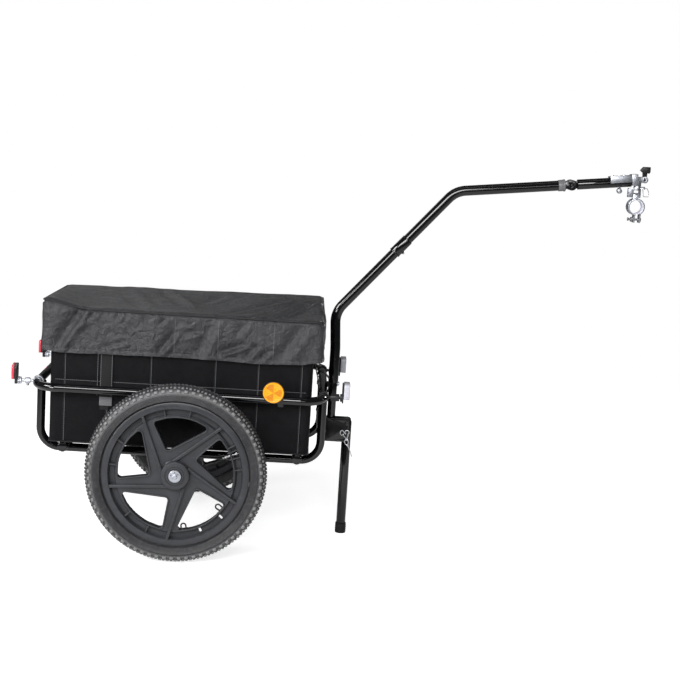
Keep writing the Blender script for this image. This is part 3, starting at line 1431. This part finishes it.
@dataclass
class CargoCover(Assembly):
    """The fitted cloth cover over the box's rim, hem and all."""

    box: CargoBox
    front: float = 0.3050
    rear: float = 0.3090
    half: float = 0.2085
    hem_z: float = 0.4370
    top_z: float = 0.5446
    corner: float = 0.0120
    sag: float = 0.0060
    wave: float = 0.0022
    peak: float = 0.0175
    bulge: float = 0.0180
    cloth: float = 0.0012
    deepest: float = -0.0068
    seed: int = 11
    hem_spots: tuple = ((-0.311, 0.0085), (-0.270, 0.0040), (-0.150, 0.0055), (-0.034, 0.0068),
                        (0.087, 0.0058), (0.171, 0.0030), (0.256, 0.0060), (0.293, 0.0120),
                        (0.314, 0.0165))
    stitch_lines: tuple = (-0.021, 0.0745, 0.1965)
    folds: dict = field(default_factory=dict)

    def __post_init__(self) -> None:
        """Lays out the creases: the near wall's by place, the other walls' by a seeded choice."""
        pick = random.Random(self.seed).random
        self.folds["near"] = NEAR_FOLDS
        for wall, reach, count in (("far", 0.27, 9), ("front", 0.17, 6), ("rear", 0.17, 6)):
            self.folds[wall] = []
            for index in range(count):
                run = -reach + 2 * reach * (index + pick() * 0.7) / count
                top = 0.536 - pick() * 0.04
                slant = (pick() - 0.5) * 0.07
                end = (run + slant, top - 0.045 - pick() * 0.035)
                sizes = [low + pick() * spread
                         for low, spread in ((0.003, 0.005), (0.008, 0.008), (0.005, 0.005))]
                self.folds[wall].append(Fold((run, top), end, *sizes))

    @property
    def ends(self) -> tuple:
        """How far the front, the rear and the sides stand from the axle's middle."""
        return self.front, self.rear, self.half

    def hem_lift(self, run: float, near: bool) -> float:
        """How far the elastic hem has ridden up at a place along a wall."""
        spots = self.hem_spots
        if not near:
            spots = [(-run_at, lift * 0.8) for run_at, lift in reversed(spots)]
        for (left, low), (right, high) in zip(spots, spots[1:]):
            if run <= right:
                return low + (high - low) * eased(max(0.0, (run - left) / (right - left)))
        return spots[-1][1]

    def skin(self, place: Vector) -> Vector:
        """Moves a point of the plain cover to its soft shape, as the frame's own cover has it."""
        x, y, z = place
        reach = (self.front + self.rear) / 2
        u = (x - (self.front - self.rear) / 2) / reach
        v = y / self.half
        depth = held((self.top_z - z) / (self.top_z - self.hem_z))
        along = x if abs(v) > 0.9 else math.copysign(self.front, x)
        z += self.hem_lift(along, y < 0) * depth ** 3
        if depth < 0.12:
            inside = max(0.0, 1 - max(abs(u), abs(v)) ** 4)
            z -= inside * (self.sag + 0.0025 * math.sin(5.3 * u + 2.1 * v))
        z += (1 - depth) * (self.peak * hump(u + 1, 0.2) * (1 - v) / 2 - self.box.drop(x, y))
        ease = depth * (1 - 0.35 * depth)
        if abs(v) > abs(u) * self.half / reach or abs(v) > 0.97:
            ripple = math.sin(11.0 * u + 1.3) + 0.6 * math.sin(23.0 * u + 2.0)
            y += math.copysign(ease * self.wave * (ripple * 0.5 - 0.15), v)
        if abs(u) > 0.97:
            x += math.copysign(ease * self.wave * (math.sin(9.0 * v + 0.7) * 0.6 - 0.2), u)
        x -= self.bulge * hump(u + 1, 0.12) * (1 + v) / 2
        return Vector((x, y, z))

    def relief(self, x: float, y: float, z: float, away: Vector) -> float:
        """How far the cloth stands out of its plain skin at a place."""
        up = max(0.0, away.z)
        total = 0.0
        if up < 0.95:
            wall, run = self.wall_of(x, y, away)
            cloth = -sum(fold.at(run, z) for fold in self.folds[wall]) + 0.0026
            cloth += noise.noise(Vector((run * 16, z * 20, 2.0 + len(wall)))) * 0.0022
            cloth += noise.noise(Vector((run * 45, z * 40, 5.0 + len(wall)))) * 0.0010
            cloth += self.hem(run, z, wall)
            cloth += self.groove(run, z)
            total += cloth * (1 - up)
        if up > 0.05:
            top = -sum(fold.at(x, y) for fold in TOP_FOLDS)
            broad = noise.noise(Vector((x * 11, y * 11, 9.0))) * 0.0022
            top += broad + noise.noise(Vector((x * 34, y * 30, 4.0))) * 0.0006
            total += top * up
        return max(self.deepest, total)

    def wall_of(self, x: float, y: float, away: Vector) -> tuple[str, float]:
        """Which wall a place is on, and how far along it."""
        if abs(away.y) >= abs(away.x):
            return ("near" if away.y < 0 else "far"), x
        return ("front" if away.x > 0 else "rear"), y

    def hem(self, run: float, z: float, wall: str) -> float:
        """The doubled hem band and the small gathers just above it."""
        above = z - self.hem_z
        band = 0.0011 if above < 0.0090 else 0.0
        seam = -0.0013 * hump(above - 0.0105, 0.0016)
        place = 1.0 if wall != "near" or -0.26 < run < -0.10 or 0.02 < run < 0.27 else 0.35
        gather = math.sin(run * 2 * math.pi / 0.0125 + 2.2 * math.sin(run * 60)) * hump(above - 0.014, 0.010)
        return band + seam + 0.0012 * place * gather

    def groove(self, run: float, z: float) -> float:
        """The sewn edge under the top: a standing lip with a drawn-in seam below it."""
        below = self.top_z - z
        seam = -0.0042 * hump(below - 0.0085, 0.0021)
        lip = 0.0016 * hump(below - 0.0045, 0.0026)
        pucker = math.sin(run * 2 * math.pi / 0.017 + 3.0 * math.sin(run * 31)) * 0.0007
        return seam + lip + pucker * hump(below - 0.014, 0.007)

    def sheet(self) -> Thing:
        """The cover's cloth: five panels sewn together, shaped, then given its thickness."""
        bench = self.bench
        axle = self.shop.layout.axle_x
        cover = bench.sewn_box(self.ends, (self.hem_z, self.top_z), self.top_z, 0.0, (150, 102, 44))
        lows = (-self.rear + self.corner, -self.half + self.corner, self.hem_z - 1.0)
        highs = (self.front - self.corner, self.half - self.corner, self.top_z - self.corner)

        def shape(co: Vector) -> Vector:
            """Rounds the corners, lays the creases and carries the point to the frame."""
            core = Vector([max(lows[i], min(highs[i], co[i])) for i in range(3)])
            away = co - core
            if away.length < 1e-7:
                away = Vector((0.0, 0.0, 1.0))
            away.normalize()
            plain = core + away * self.corner
            soft = self.skin(plain) + away * self.relief(co.x, co.y, co.z, away)
            return Vector((soft.x + axle, soft.y, soft.z))

        bench.reshape(cover, shape)
        bench.edit(cover, "FACE")
        bench.done(cover, 0.00001)
        return bench.modify(cover, "SOLIDIFY", thickness=self.cloth, offset=-1.0)

    def edge_cord(self) -> Thing:
        """The piping that is sewn in along the top's edge."""
        axle = self.shop.layout.axle_x
        radius = self.corner
        path = []
        for x, y in rounded_loop(self.ends, radius, radius, 6, 40):
            soft = self.skin(Vector((x, y, self.top_z - 0.0058)))
            out = Vector((x - max(-self.rear + radius, min(self.front - radius, x)),
                          y - max(-self.half + radius, min(self.half - radius, y)), 0.0))
            path.append((soft + out.normalized() * 0.0012) + Vector((axle, 0, 0)))
        return self.bench.wire(path, 0.0019, closed=True)

    def seams(self) -> list[Thing]:
        """Lines of stitches down the near and far walls."""
        axle = Vector((self.shop.layout.axle_x, 0, 0))
        lines = []
        for side in (-1, 1):
            away = Vector((0.0, float(side), 0.0))
            for x in self.stitch_lines:
                path = []
                for step in range(25):
                    z = self.hem_z + 0.012 + (0.0830 * step / 24)
                    plain = Vector((x, side * self.half, z))
                    lift = self.relief(x, plain.y, z, away) + 0.0002
                    path.append(self.skin(plain) + away * lift + axle)
                lines.append(self.bench.strip(path, (0.0010, 0, 0), 0.0006, 1))
        return lines

    def build(self) -> None:
        """Builds the cover with its piping and its stitches."""
        deliver = self.shop.deliver
        cover = self.shop.replace("cargo_cover", [self.sheet()], COVER_CLOTH, "cover", 75)
        piping = deliver("cover_piping", [self.edge_cord()], PIPING, "cover", sharp=60)
        stitching = deliver("cover_stitching", self.seams(), COVER_THREAD, "cover", sharp=0)


@dataclass
class Wheels(Assembly):
    """Both wheels: five-spoke moulding, ribbed tyre with its knobs, valve and bead wires."""

    radius: float = 0.1995
    track: float = 0.2750
    bead: float = 0.1610
    recess: float = 0.1460
    groove_outer: float = 0.1445
    groove_inner: float = 0.1310
    floor: float = 0.0032
    plate: float = 0.0120
    edge: float = 0.0165
    hub_out: float = 0.0260
    hub_in: float = 0.0300
    bush: float = 0.0113
    spokes: int = 5
    window_hub: tuple = (0.0550, 255.5)
    window_arc: float = 0.1262
    window_ends: tuple = (200.6, 258.6)
    fillet: float = 0.0065
    lip: float = 0.0036
    lip_inset: float = 0.0002
    lip_back: float = -0.0050
    flare: float = 0.0030
    ridge_angle: float = 182.6
    ridge_offset: float = 0.0265
    rib_angles: tuple = (223.2, 245.8)
    open_spoke: int = 1
    notch_angle: float = 22.0
    steps: int = 160
    pitches: int = 72
    wall_ribs: tuple = (0.1650, 0.0024, 6)
    crown: tuple = (0.1780, 0.0188, 0.0226)
    knob_seat: tuple = (0.1782, 0.0182, 0.0222)
    knob_shift: float = 1.2
    tyre_inside: tuple = ((0.1720, 0.0180), (0.1860, 0.0150), (0.1900, 0.0), (0.1860, -0.0150),
                          (0.1720, -0.0180))
    knob_rows: tuple = ((0.0, 63.0, 0.0098, 0.0076, 0.0040), (2.5, 40.0, 0.0070, 0.0060, 0.0032),
                        (0.1, 37.0, 0.0056, 0.0052, 0.0028), (0.7, 11.0, 0.0054, 0.0074, 0.0026),
                        (3.2, 11.0, 0.0054, 0.0074, 0.0026))
    eye_angles: tuple = (-35.3, -79.1)
    cutter: float = 0.04
    valve_y: float = -0.0060
    threads: tuple = (0.1200, 0.0026, 7)
    valve_parts: tuple = ((0.1130, 0.1475, 0.0026, 20, 0.0003), (0.1395, 0.1425, 0.0050, 6, 0.0004),
                          (0.1085, 0.1135, 0.0016, 16, 0.0004), (0.1135, 0.1175, 0.0033, 14, 0.0004))

    def rounded(self, corners: list[Place], radii: list[float], steps: int = 7) -> list[Vector]:
        """A closed outline whose corners are eased to arcs."""
        path = []
        for index, radius in enumerate(radii):
            corner = Vector(corners[index])
            if radius <= 0:
                path.append(corner)
                continue
            following = Vector(corners[(index + 1) % len(corners)])
            enter, leave, centre = bend(corner, Vector(corners[index - 1]), following, radius)
            first = enter - centre
            last = leave - centre
            sweep = first.angle(last)
            for step in range(steps + 1):
                share = step / steps
                spoke = first * math.sin((1 - share) * sweep) + last * math.sin(share * sweep)
                path.append(centre + spoke / math.sin(sweep))
        return path

    def window(self, turn: float, grow: float = 0.0) -> list[Flat]:
        """One opening's outline as X and Z points, grown outwards by a margin."""
        start, end = self.window_ends
        arc = (0, *range(3, 10), 12)
        corners = [polar(self.window_hub[0], self.window_hub[1] + turn)]
        corners += [polar(self.window_arc, start + turn + (end - start) * (step / 12)) for step in arc]
        radii = [self.fillet, *(self.fillet if step in (0, 12) else 0.0 for step in arc)]
        outline = self.rounded([(*corner, 0.0) for corner in corners], radii)
        grown = []
        for index, point in enumerate(outline):
            along = (outline[(index + 1) % len(outline)] - outline[index - 1]).normalized()
            grown.append((point.x + along.y * grow, point.y - along.x * grow))
        return grown

    def outline_ring(self, outline: list[Place], y: float) -> Thing:
        """A circle whose vertices are moved on to an outline at one Y."""
        bpy.ops.mesh.primitive_circle_add(vertices=len(outline), radius=0.1, fill_type="NOTHING")
        made = self.bench.named()
        for vertex, spot in zip(made.data.vertices, outline):
            vertex.co = (spot[0], y, spot[1])
        return made

    def plug(self, outline: list[Place], low: float, high: float) -> Thing:
        """A solid cutter with an outline, between two Y planes."""
        bench = self.bench
        made = self.outline_ring(outline, low)
        bench.edit(made)
        bench.extrude((0, high - low, 0))
        bpy.ops.mesh.select_all(action="SELECT")
        bpy.ops.mesh.fill_holes(sides=0)
        return bench.done(made, 0.000001)

    def lip_frame(self, turn: float, inner: float, outer: float, low: float, high: float) -> Thing:
        """The raised border round one opening, between two margins and two Y planes."""
        bench = self.bench
        made = bench.join("lip", [self.outline_ring(self.window(turn, grow), low) for grow in (inner, outer)])
        bench.edit(made, "EDGE")
        bpy.ops.mesh.bridge_edge_loops()
        bpy.ops.mesh.select_all(action="SELECT")
        bench.extrude((0, high - low, 0))
        bench.done(made, 0.000001)
        return bench.soften(made, 0.0011, 3, 50)

    def bar(self, angle: float, ends: Place, width: float, high: float, offset: float = 0.0,
            crown: float = 0.0) -> Thing:
        """A straight bar along a radius, through both faces.

        Args:
            angle: where the radius points.
            ends: where along it the bar starts and ends.
            width: how wide the bar is.
            high: how far it reaches to each side.
            offset: how far it lies beside the radius.
            crown: how much its edges are eased, nought for a cutter.

        Returns:
            The bar.
        """
        bench = self.bench
        made = bench.block((ends[0], -high, offset - width / 2), (ends[1], high, offset + width / 2))
        if crown > 0:
            bench.edit(made, "FACE", lambda face: abs(face.normal.y) > 0.9)
            bpy.ops.transform.resize(value=(1.0, 1.0, 0.72), center_override=(sum(ends) / 2, 0, offset))
            bench.done(made)
            bench.soften(made, crown, 3, 40)
        return bench.settle(made, turn=(0.0, -math.radians(angle), 0.0))

    def rim_profile(self) -> list[Place]:
        """The moulding's section as radius and Y; both faces have the same channel."""
        hub, plate, floor, edge, bead = self.hub_out, self.plate, self.floor, self.edge, self.bead
        near, far = self.groove_inner, self.groove_outer
        face = [(r, rise - hub) for r, rise in
                ((self.bush, 0.0006), (0.0152, 0.0006), (0.0160, 0.0), (0.0192, 0.0), (0.0198, 0.0012),
                 (0.0212, 0.0012), (0.0218, 0.0), (0.0282, 0.0), (0.0300, 0.0006), (0.0310, 0.0020))]
        face += [(r, rise - plate) for r, rise in
                 ((0.0312, -0.0006), (0.0330, 0.0010), (near - 0.0010, 0.0010), (near + 0.0004, 0.0022))]
        channel = [(near + 0.0012, floor + 0.0012), (near + 0.0024, floor), (far - 0.0014, floor),
                   (far, floor + 0.0014), (self.recess - 0.0002, edge - 0.0014), (self.recess + 0.0010, edge),
                   (0.1592, edge), (bead - 0.0004, edge - 0.0008), (bead, edge - 0.0022)]
        back = [(near - 0.0010, plate), (0.0330, plate), (0.0312, plate + 0.0016),
                (0.0292, self.hub_in - 0.0010), (0.0280, self.hub_in), (self.bush, self.hub_in)]
        outer = [(r, -y) for r, y in channel]
        outer.insert(6, (0.1530, -edge - 0.0003))
        return [*face, *outer, *reversed(channel), *back]

    def rim(self) -> Thing:
        """The moulded wheel round the origin, its outer face towards -Y."""
        bench = self.bench
        plate, lip_back = self.plate, self.lip_back
        body = bench.lathe(self.rim_profile(), self.steps, closed=True)
        pitch = 360.0 / self.spokes
        turns = [spoke * pitch for spoke in range(self.spokes)]
        cutter = self.cutter
        tools = [self.plug(self.window(turn), -cutter, 0.0) for turn in turns]
        tools += [self.plug(self.window(turn, self.flare), lip_back, cutter) for turn in turns]
        slot = (self.groove_inner + 0.002, self.groove_outer - 0.001)
        tools += [self.bar(angle + turns[self.open_spoke], slot, 0.0060, cutter) for angle in self.rib_angles]
        notch = (self.window_arc - 0.010, self.recess - 0.001)
        tools.append(self.bar(self.notch_angle, notch, 0.0140, cutter))
        parts = [bench.carve(body, bench.join("tools", tools))]
        reach = math.sqrt((self.recess + 0.0005) ** 2 - self.ridge_offset ** 2)
        for turn in turns:
            parts.append(self.lip_frame(turn, self.lip_inset, self.lip, -plate - 0.0018, lip_back))
            parts.append(self.lip_frame(turn, self.flare - self.lip_inset, self.flare + self.lip,
                                        lip_back - 0.0010, plate + 0.0016))
            parts.append(self.bar(self.ridge_angle + turn, (0.014, reach), 0.0092, plate + 0.0052,
                                  self.ridge_offset, 0.0014))
            if turn != turns[self.open_spoke]:
                ends = (self.window_arc + 0.002, self.recess + 0.0005)
                parts += [self.bar(angle + turn, ends, 0.0046, plate + 0.0008, crown=0.0010)
                          for angle in self.rib_angles]
        cheek = (self.window_arc - 0.004, self.recess + 0.0004)
        parts += [self.bar(self.notch_angle + s * 3.4, cheek, 0.0036, plate + 0.0012, crown=0.0009)
                  for s in (-1, 1)]
        return bench.smooth(bench.join("rim_master", parts), 34)

    def knob(self, side: int, turn: float, lean: float, along: float, across: float, high: float) -> Thing:
        """One knob of the tread.

        Args:
            side: which half of the tread it is on.
            turn: how far round the wheel it sits.
            lean: how far down the tread's side it sits.
            along: its length round the wheel.
            across: its width.
            high: how far it stands out.

        Returns:
            The knob in its place.
        """
        bench = self.bench
        knob = bench.block((-along / 2, -across / 2, -0.0030), (along / 2, across / 2, high))
        bench.edit(knob, "FACE", lambda face: face.normal.z > 0.9)
        bpy.ops.transform.resize(value=(0.74, 0.74, 1.0), center_override=(0, 0, high))
        bench.done(knob)
        bench.soften(knob, 0.0006, 1, 60)
        angle = math.radians(lean)
        middle, rise, half = self.knob_seat
        spot = Vector((0.0, side * half * math.sin(angle) ** 0.9, middle + rise * math.cos(angle)))
        bench.settle(knob, spot, (-side * angle, 0.0, 0.0))
        shift = self.knob_shift if side > 0 else 0.0
        return bench.settle(knob, turn=(0.0, math.radians(turn + shift), 0.0))

    def tyre(self) -> Thing:
        """The tyre: ribbed side walls, rounded crown and rows of knobs."""
        bench = self.bench
        bead = self.bead
        outer = [(bead + 0.0003, -0.0126), (bead + 0.0016, -0.0130), (bead + 0.0021, -0.0168),
                 (bead + 0.0030, -0.0186)]
        first, pitch, count = self.wall_ribs
        for index in range(count):
            base = first + index * pitch
            width = 0.0196 + 0.0030 * math.sin(math.pi * min(1.0, (base - bead) / 0.0340))
            outer += [(base, -width), (base + 0.0006, -width - 0.0005), (base + 0.0014, -width - 0.0005),
                      (base + 0.0020, -width)]
        middle, rise, half = self.crown
        for degrees in range(20, 91, 10):
            angle = math.radians(degrees)
            side = -half * math.cos(angle) ** 0.85 if degrees < 90 else 0.0
            outer.append((middle + rise * math.sin(angle), side))
        back = [(r, -w) for r, w in reversed(outer[:-1])]
        inside = [(bead + 0.0003, 0.0125), *self.tyre_inside, (bead + 0.0003, -0.0125)]
        carcass = bench.lathe(outer + back + inside, 144, closed=True)
        knobs = [self.knob(side, *row) for row in self.knob_rows for side in (-1, 1)]
        treads = bench.ring_of(bench.join("knobs", knobs), self.pitches)

        def trim(co: Vector) -> Vector:
            """Keeps every knob inside the tyre's full radius."""
            share = min(1.0, self.radius / math.hypot(co.x, co.z))
            return Vector((co.x * share, co.y, co.z * share))

        bench.reshape(treads, trim)
        return bench.smooth(bench.join("tyre_master", [carcass, treads]), 40)

    def wires(self) -> Thing:
        """The two small wire eyes that stand on one opening's edge."""
        bench = self.bench
        loops = []
        for degrees in self.eye_angles:
            radial = Vector((*polar(1.0, degrees), 0.0))
            out = Vector((radial.x, 0.0, radial.y))
            along = Vector((-out.z, 0.0, out.x))
            base = out * (self.window_arc + 0.0020) + Vector((0, -0.0090, 0))
            path = [base + along * 0.0040, base + along * 0.0052 - out * 0.0080]
            for step in range(11):
                angle = math.pi * step / 10
                lean = along * (0.0054 * math.cos(angle))
                path.append(base - out * (0.0110 + 0.0054 * math.sin(angle)) + lean)
            path += [base - along * 0.0052 - out * 0.0080, base - along * 0.0040]
            loops.append(bench.wire(path, 0.0018))
        return bench.smooth(bench.join("wire_master", loops), 60)

    def valve(self) -> Thing:
        """The tube's valve along its radius: stem, nut, core, knurled cap and thread."""
        bench = self.bench
        parts = [bench.rod((low, 0, 0), (high, 0, 0), *sizes) for low, high, *sizes in self.valve_parts]
        first, pitch, count = self.threads
        for index in range(count):
            x = first + index * pitch
            parts.append(bench.rod((x, 0, 0), (x + 0.0010, 0, 0), 0.0029, 16, 0.0003))
        made = bench.join("valve_master", parts)
        bench.settle(made, (0.0, self.valve_y, 0.0), (0.0, -math.radians(self.notch_angle), 0.0))
        return bench.smooth(made, 40)

    def head(self) -> Thing:
        """The quick-release axle's domed silver head, with a pocket for its button."""
        start = -self.hub_out - 0.0004
        profile = [(r, start - drop) for r, drop in
                   ((0.0, -0.0005), (0.0133, -0.0003), (0.0140, 0.0006), (0.0138, 0.0020), (0.0128, 0.0030),
                    (0.0105, 0.0034), (0.0098, 0.0028), (0.0085, 0.0028), (0.0078, 0.0035),
                    (0.0060, 0.0036), (0.0055, 0.0030), (0.0, 0.0028))]
        return self.bench.smooth(self.bench.lathe(profile, 56), 30)

    def marks(self) -> Thing:
        """Three small dark pin holes in the head's face."""
        y = -self.hub_out - 0.0034
        spots = [polar(0.0090, degrees) for degrees in (35, 90, 160)]
        holes = [self.bench.rod((x, y, z), (x, y - 0.0006, z), 0.0011, 14, 0.0002) for x, z in spots]
        return self.bench.join("marks", holes)

    def build(self) -> None:
        """Models each piece once and sets a copy on both sides."""
        shop, bench = self.shop, self.bench
        masters = [(self.rim(), "rim", WHEEL_PLASTIC, "wheel", True),
                   (self.tyre(), "tyre", None, "wheel", True),
                   (self.wires(), "bead_wires", BLACK_PLASTIC, "wheel", False),
                   (self.valve(), "valve", STEEL, "wheel", False),
                   (self.head(), "axle_head", ZINC, "frame", False),
                   (self.marks(), "head_marks", BLACK_PLASTIC, "frame", False)]
        for side in Side:
            centre = self.at(0.0, side.value * self.track, self.radius)
            turn = (0.0, 0.0, math.pi if side is Side.LEFT else 0.0)
            for master, word, finish, body, stands_for in masters:
                name = word + "_" + side.word
                made = bench.settle(bench.copy(master), centre, turn)
                rides = body if body == "frame" else body + "_" + side.word
                look = finish or Rubber("tyre_tread_" + side.word, Slot.TYRE, centre=tuple(centre))
                shop.deliver(name + "_look", [made], look, rides, name if stands_for else "", 0)
            shop.keep("hub_bush_" + side.word, DARK_METAL)
            shop.keep("axle_" + side.word, ZINC)
            shop.renew("axle_button_" + side.word, ZINC, "button_" + side.word, 0.0008)
        for master, *_ in masters:
            bpy.data.objects.remove(master, do_unlink=True)


@dataclass
class Reflectors(Assembly):
    """Red rear, clear front and round amber side reflectors."""

    side_radius: float = 0.0230
    blocks: tuple = (("rear_lens_", RED, 0.0009), ("rear_housing_", BLACK_PLASTIC, 0.0006),
                     ("rear_bracket_", ZINC, 0.0004), ("front_lens_", CLEAR, 0.0009),
                     ("front_bracket_", BLACK_PLASTIC, 0.0005), ("side_holder_", BLACK_PLASTIC, 0.0005))

    def side_lens(self, side: Side) -> None:
        """A round amber lens with a raised rim and a shallow dish."""
        node = "side_lens_" + side.word
        low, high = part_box(node)
        centre = (low + high) / 2
        amber = Prisms("amber_prisms_" + side.word, Slot.AMBER, (0.70, 0.17, 0.002), (0.98, 0.44, 0.010),
                       0.0026, tuple(centre), 3)
        rise = side.value * (high.y - low.y)
        rim = self.side_radius
        profile = [(r, rise * share) for r, share in
                   ((0.0, 0.0), (rim, 0.0), (rim, 0.55), (rim - 0.0009, 0.92), (rim - 0.0022, 1.0),
                    (rim - 0.0036, 0.90), (rim - 0.0046, 0.78), (0.0100, 0.86), (0.0, 0.88))]
        inner = high.y if side is Side.RIGHT else low.y
        bench = self.bench
        made = bench.settle(bench.lathe(profile, 72), (centre.x, inner, centre.z))
        self.shop.replace(node, [made], amber, sharp=30)

    def build(self) -> None:
        """Builds all reflectors."""
        for side in Side:
            for node, finish, bevel in self.blocks:
                self.shop.renew(node + side.word, finish, bevel=bevel)
            self.side_lens(side)


@dataclass
class Hitch(Assembly):
    """The knuckle, tip tube, hitch head, latch, swivel, seat-post clamp and wire clip."""

    clamp: tuple = (1.01556, 0, 0.82362)
    clamp_bore: float = 0.0168
    clamp_half: float = 0.0130
    liner_wall: float = 0.0016
    sleeve_ends: tuple = ((0.8310, 0.0, 0.8612), (0.8462, 0.0, 0.8630))
    sleeve_radius: float = 0.0132
    metal: tuple = (("knuckle_fork", SATIN, "frame", 0.0006), ("knuckle_pin", DARK_METAL, "frame", 0.0005),
                    ("tip_tube", PAINT, "tip", 0.0004), ("hitch_channel", ZINC, "tip", 0.0005),
                    ("channel_bolt", ZINC, "tip", 0.0002), ("hitch_head", ZINC, "tip", 0.0008),
                    ("latch_lever", BLACK_PLASTIC, "latch", 0.0009), ("swivel_yoke", ZINC, "swivel", 0.0005),
                    ("seatpost_clamp", ZINC, "clamp", 0.0005), ("clamp_bolt", STEEL, "clamp", 0.0004))

    def wire_clip(self) -> None:
        """The safety clip that hangs from the head."""
        bench = self.bench
        clip = bench.refined(self.shop.layout.node("safety_clip"))
        bench.modify(clip, "SUBSURF", levels=1, render_levels=1)
        self.shop.replace("safety_clip", [clip], ZINC, "wire_clip", 60)

    def liner(self) -> None:
        """The pale plastic sleeve inside the clamp, just short of its faces."""
        inner = self.clamp_bore - self.liner_wall
        outer = self.clamp_bore - 0.0001
        half = self.clamp_half - 0.0003
        ring = [(inner, -half), (outer, -half), (outer, half), (inner, half)]
        made = self.bench.lathe(ring, 56, closed=True)
        self.bench.settle(made, self.at(*self.clamp))
        self.shop.deliver("clamp_liner_sleeve", [made], LINER, "clamp", sharp=30)

    def sleeve(self) -> None:
        """The grey plastic sleeve round the drawbar's end, behind the knuckle."""
        rod = self.bench.rod
        start, end = (self.at(*spot) for spot in self.sleeve_ends)
        along = (end - start).normalized()
        parts = [rod(start, end, self.sleeve_radius, 36, 0.0010),
                 rod(end - along * 0.0040, end + along * 0.0004, self.sleeve_radius + 0.0009, 36, 0.0008)]
        self.shop.deliver("knuckle_sleeve", parts, SLEEVE)

    def build(self) -> None:
        """Builds the hitch."""
        for row in self.metal:
            self.shop.renew(*row)
        self.wire_clip()
        self.liner()
        self.sleeve()


def main() -> None:
    """Builds the trailer's looks in order."""
    logging.basicConfig(level=logging.INFO, format="%(name)s: %(message)s")
    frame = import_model()
    layout = Layout(frame)
    bench = Bench()
    bench.clear()
    shop = Workshop(layout, bench)
    box = CargoBox(shop)
    Studio(layout).build(bench)
    for piece in (FrameTubes(shop), Stand(shop), box, CargoCover(shop, box), Wheels(shop), Reflectors(shop),
                  Hitch(shop)):
        piece.build()
        LOG.info("%s is done", type(piece).__name__)
    bench.clear()


if __name__ == "__main__":
    main()
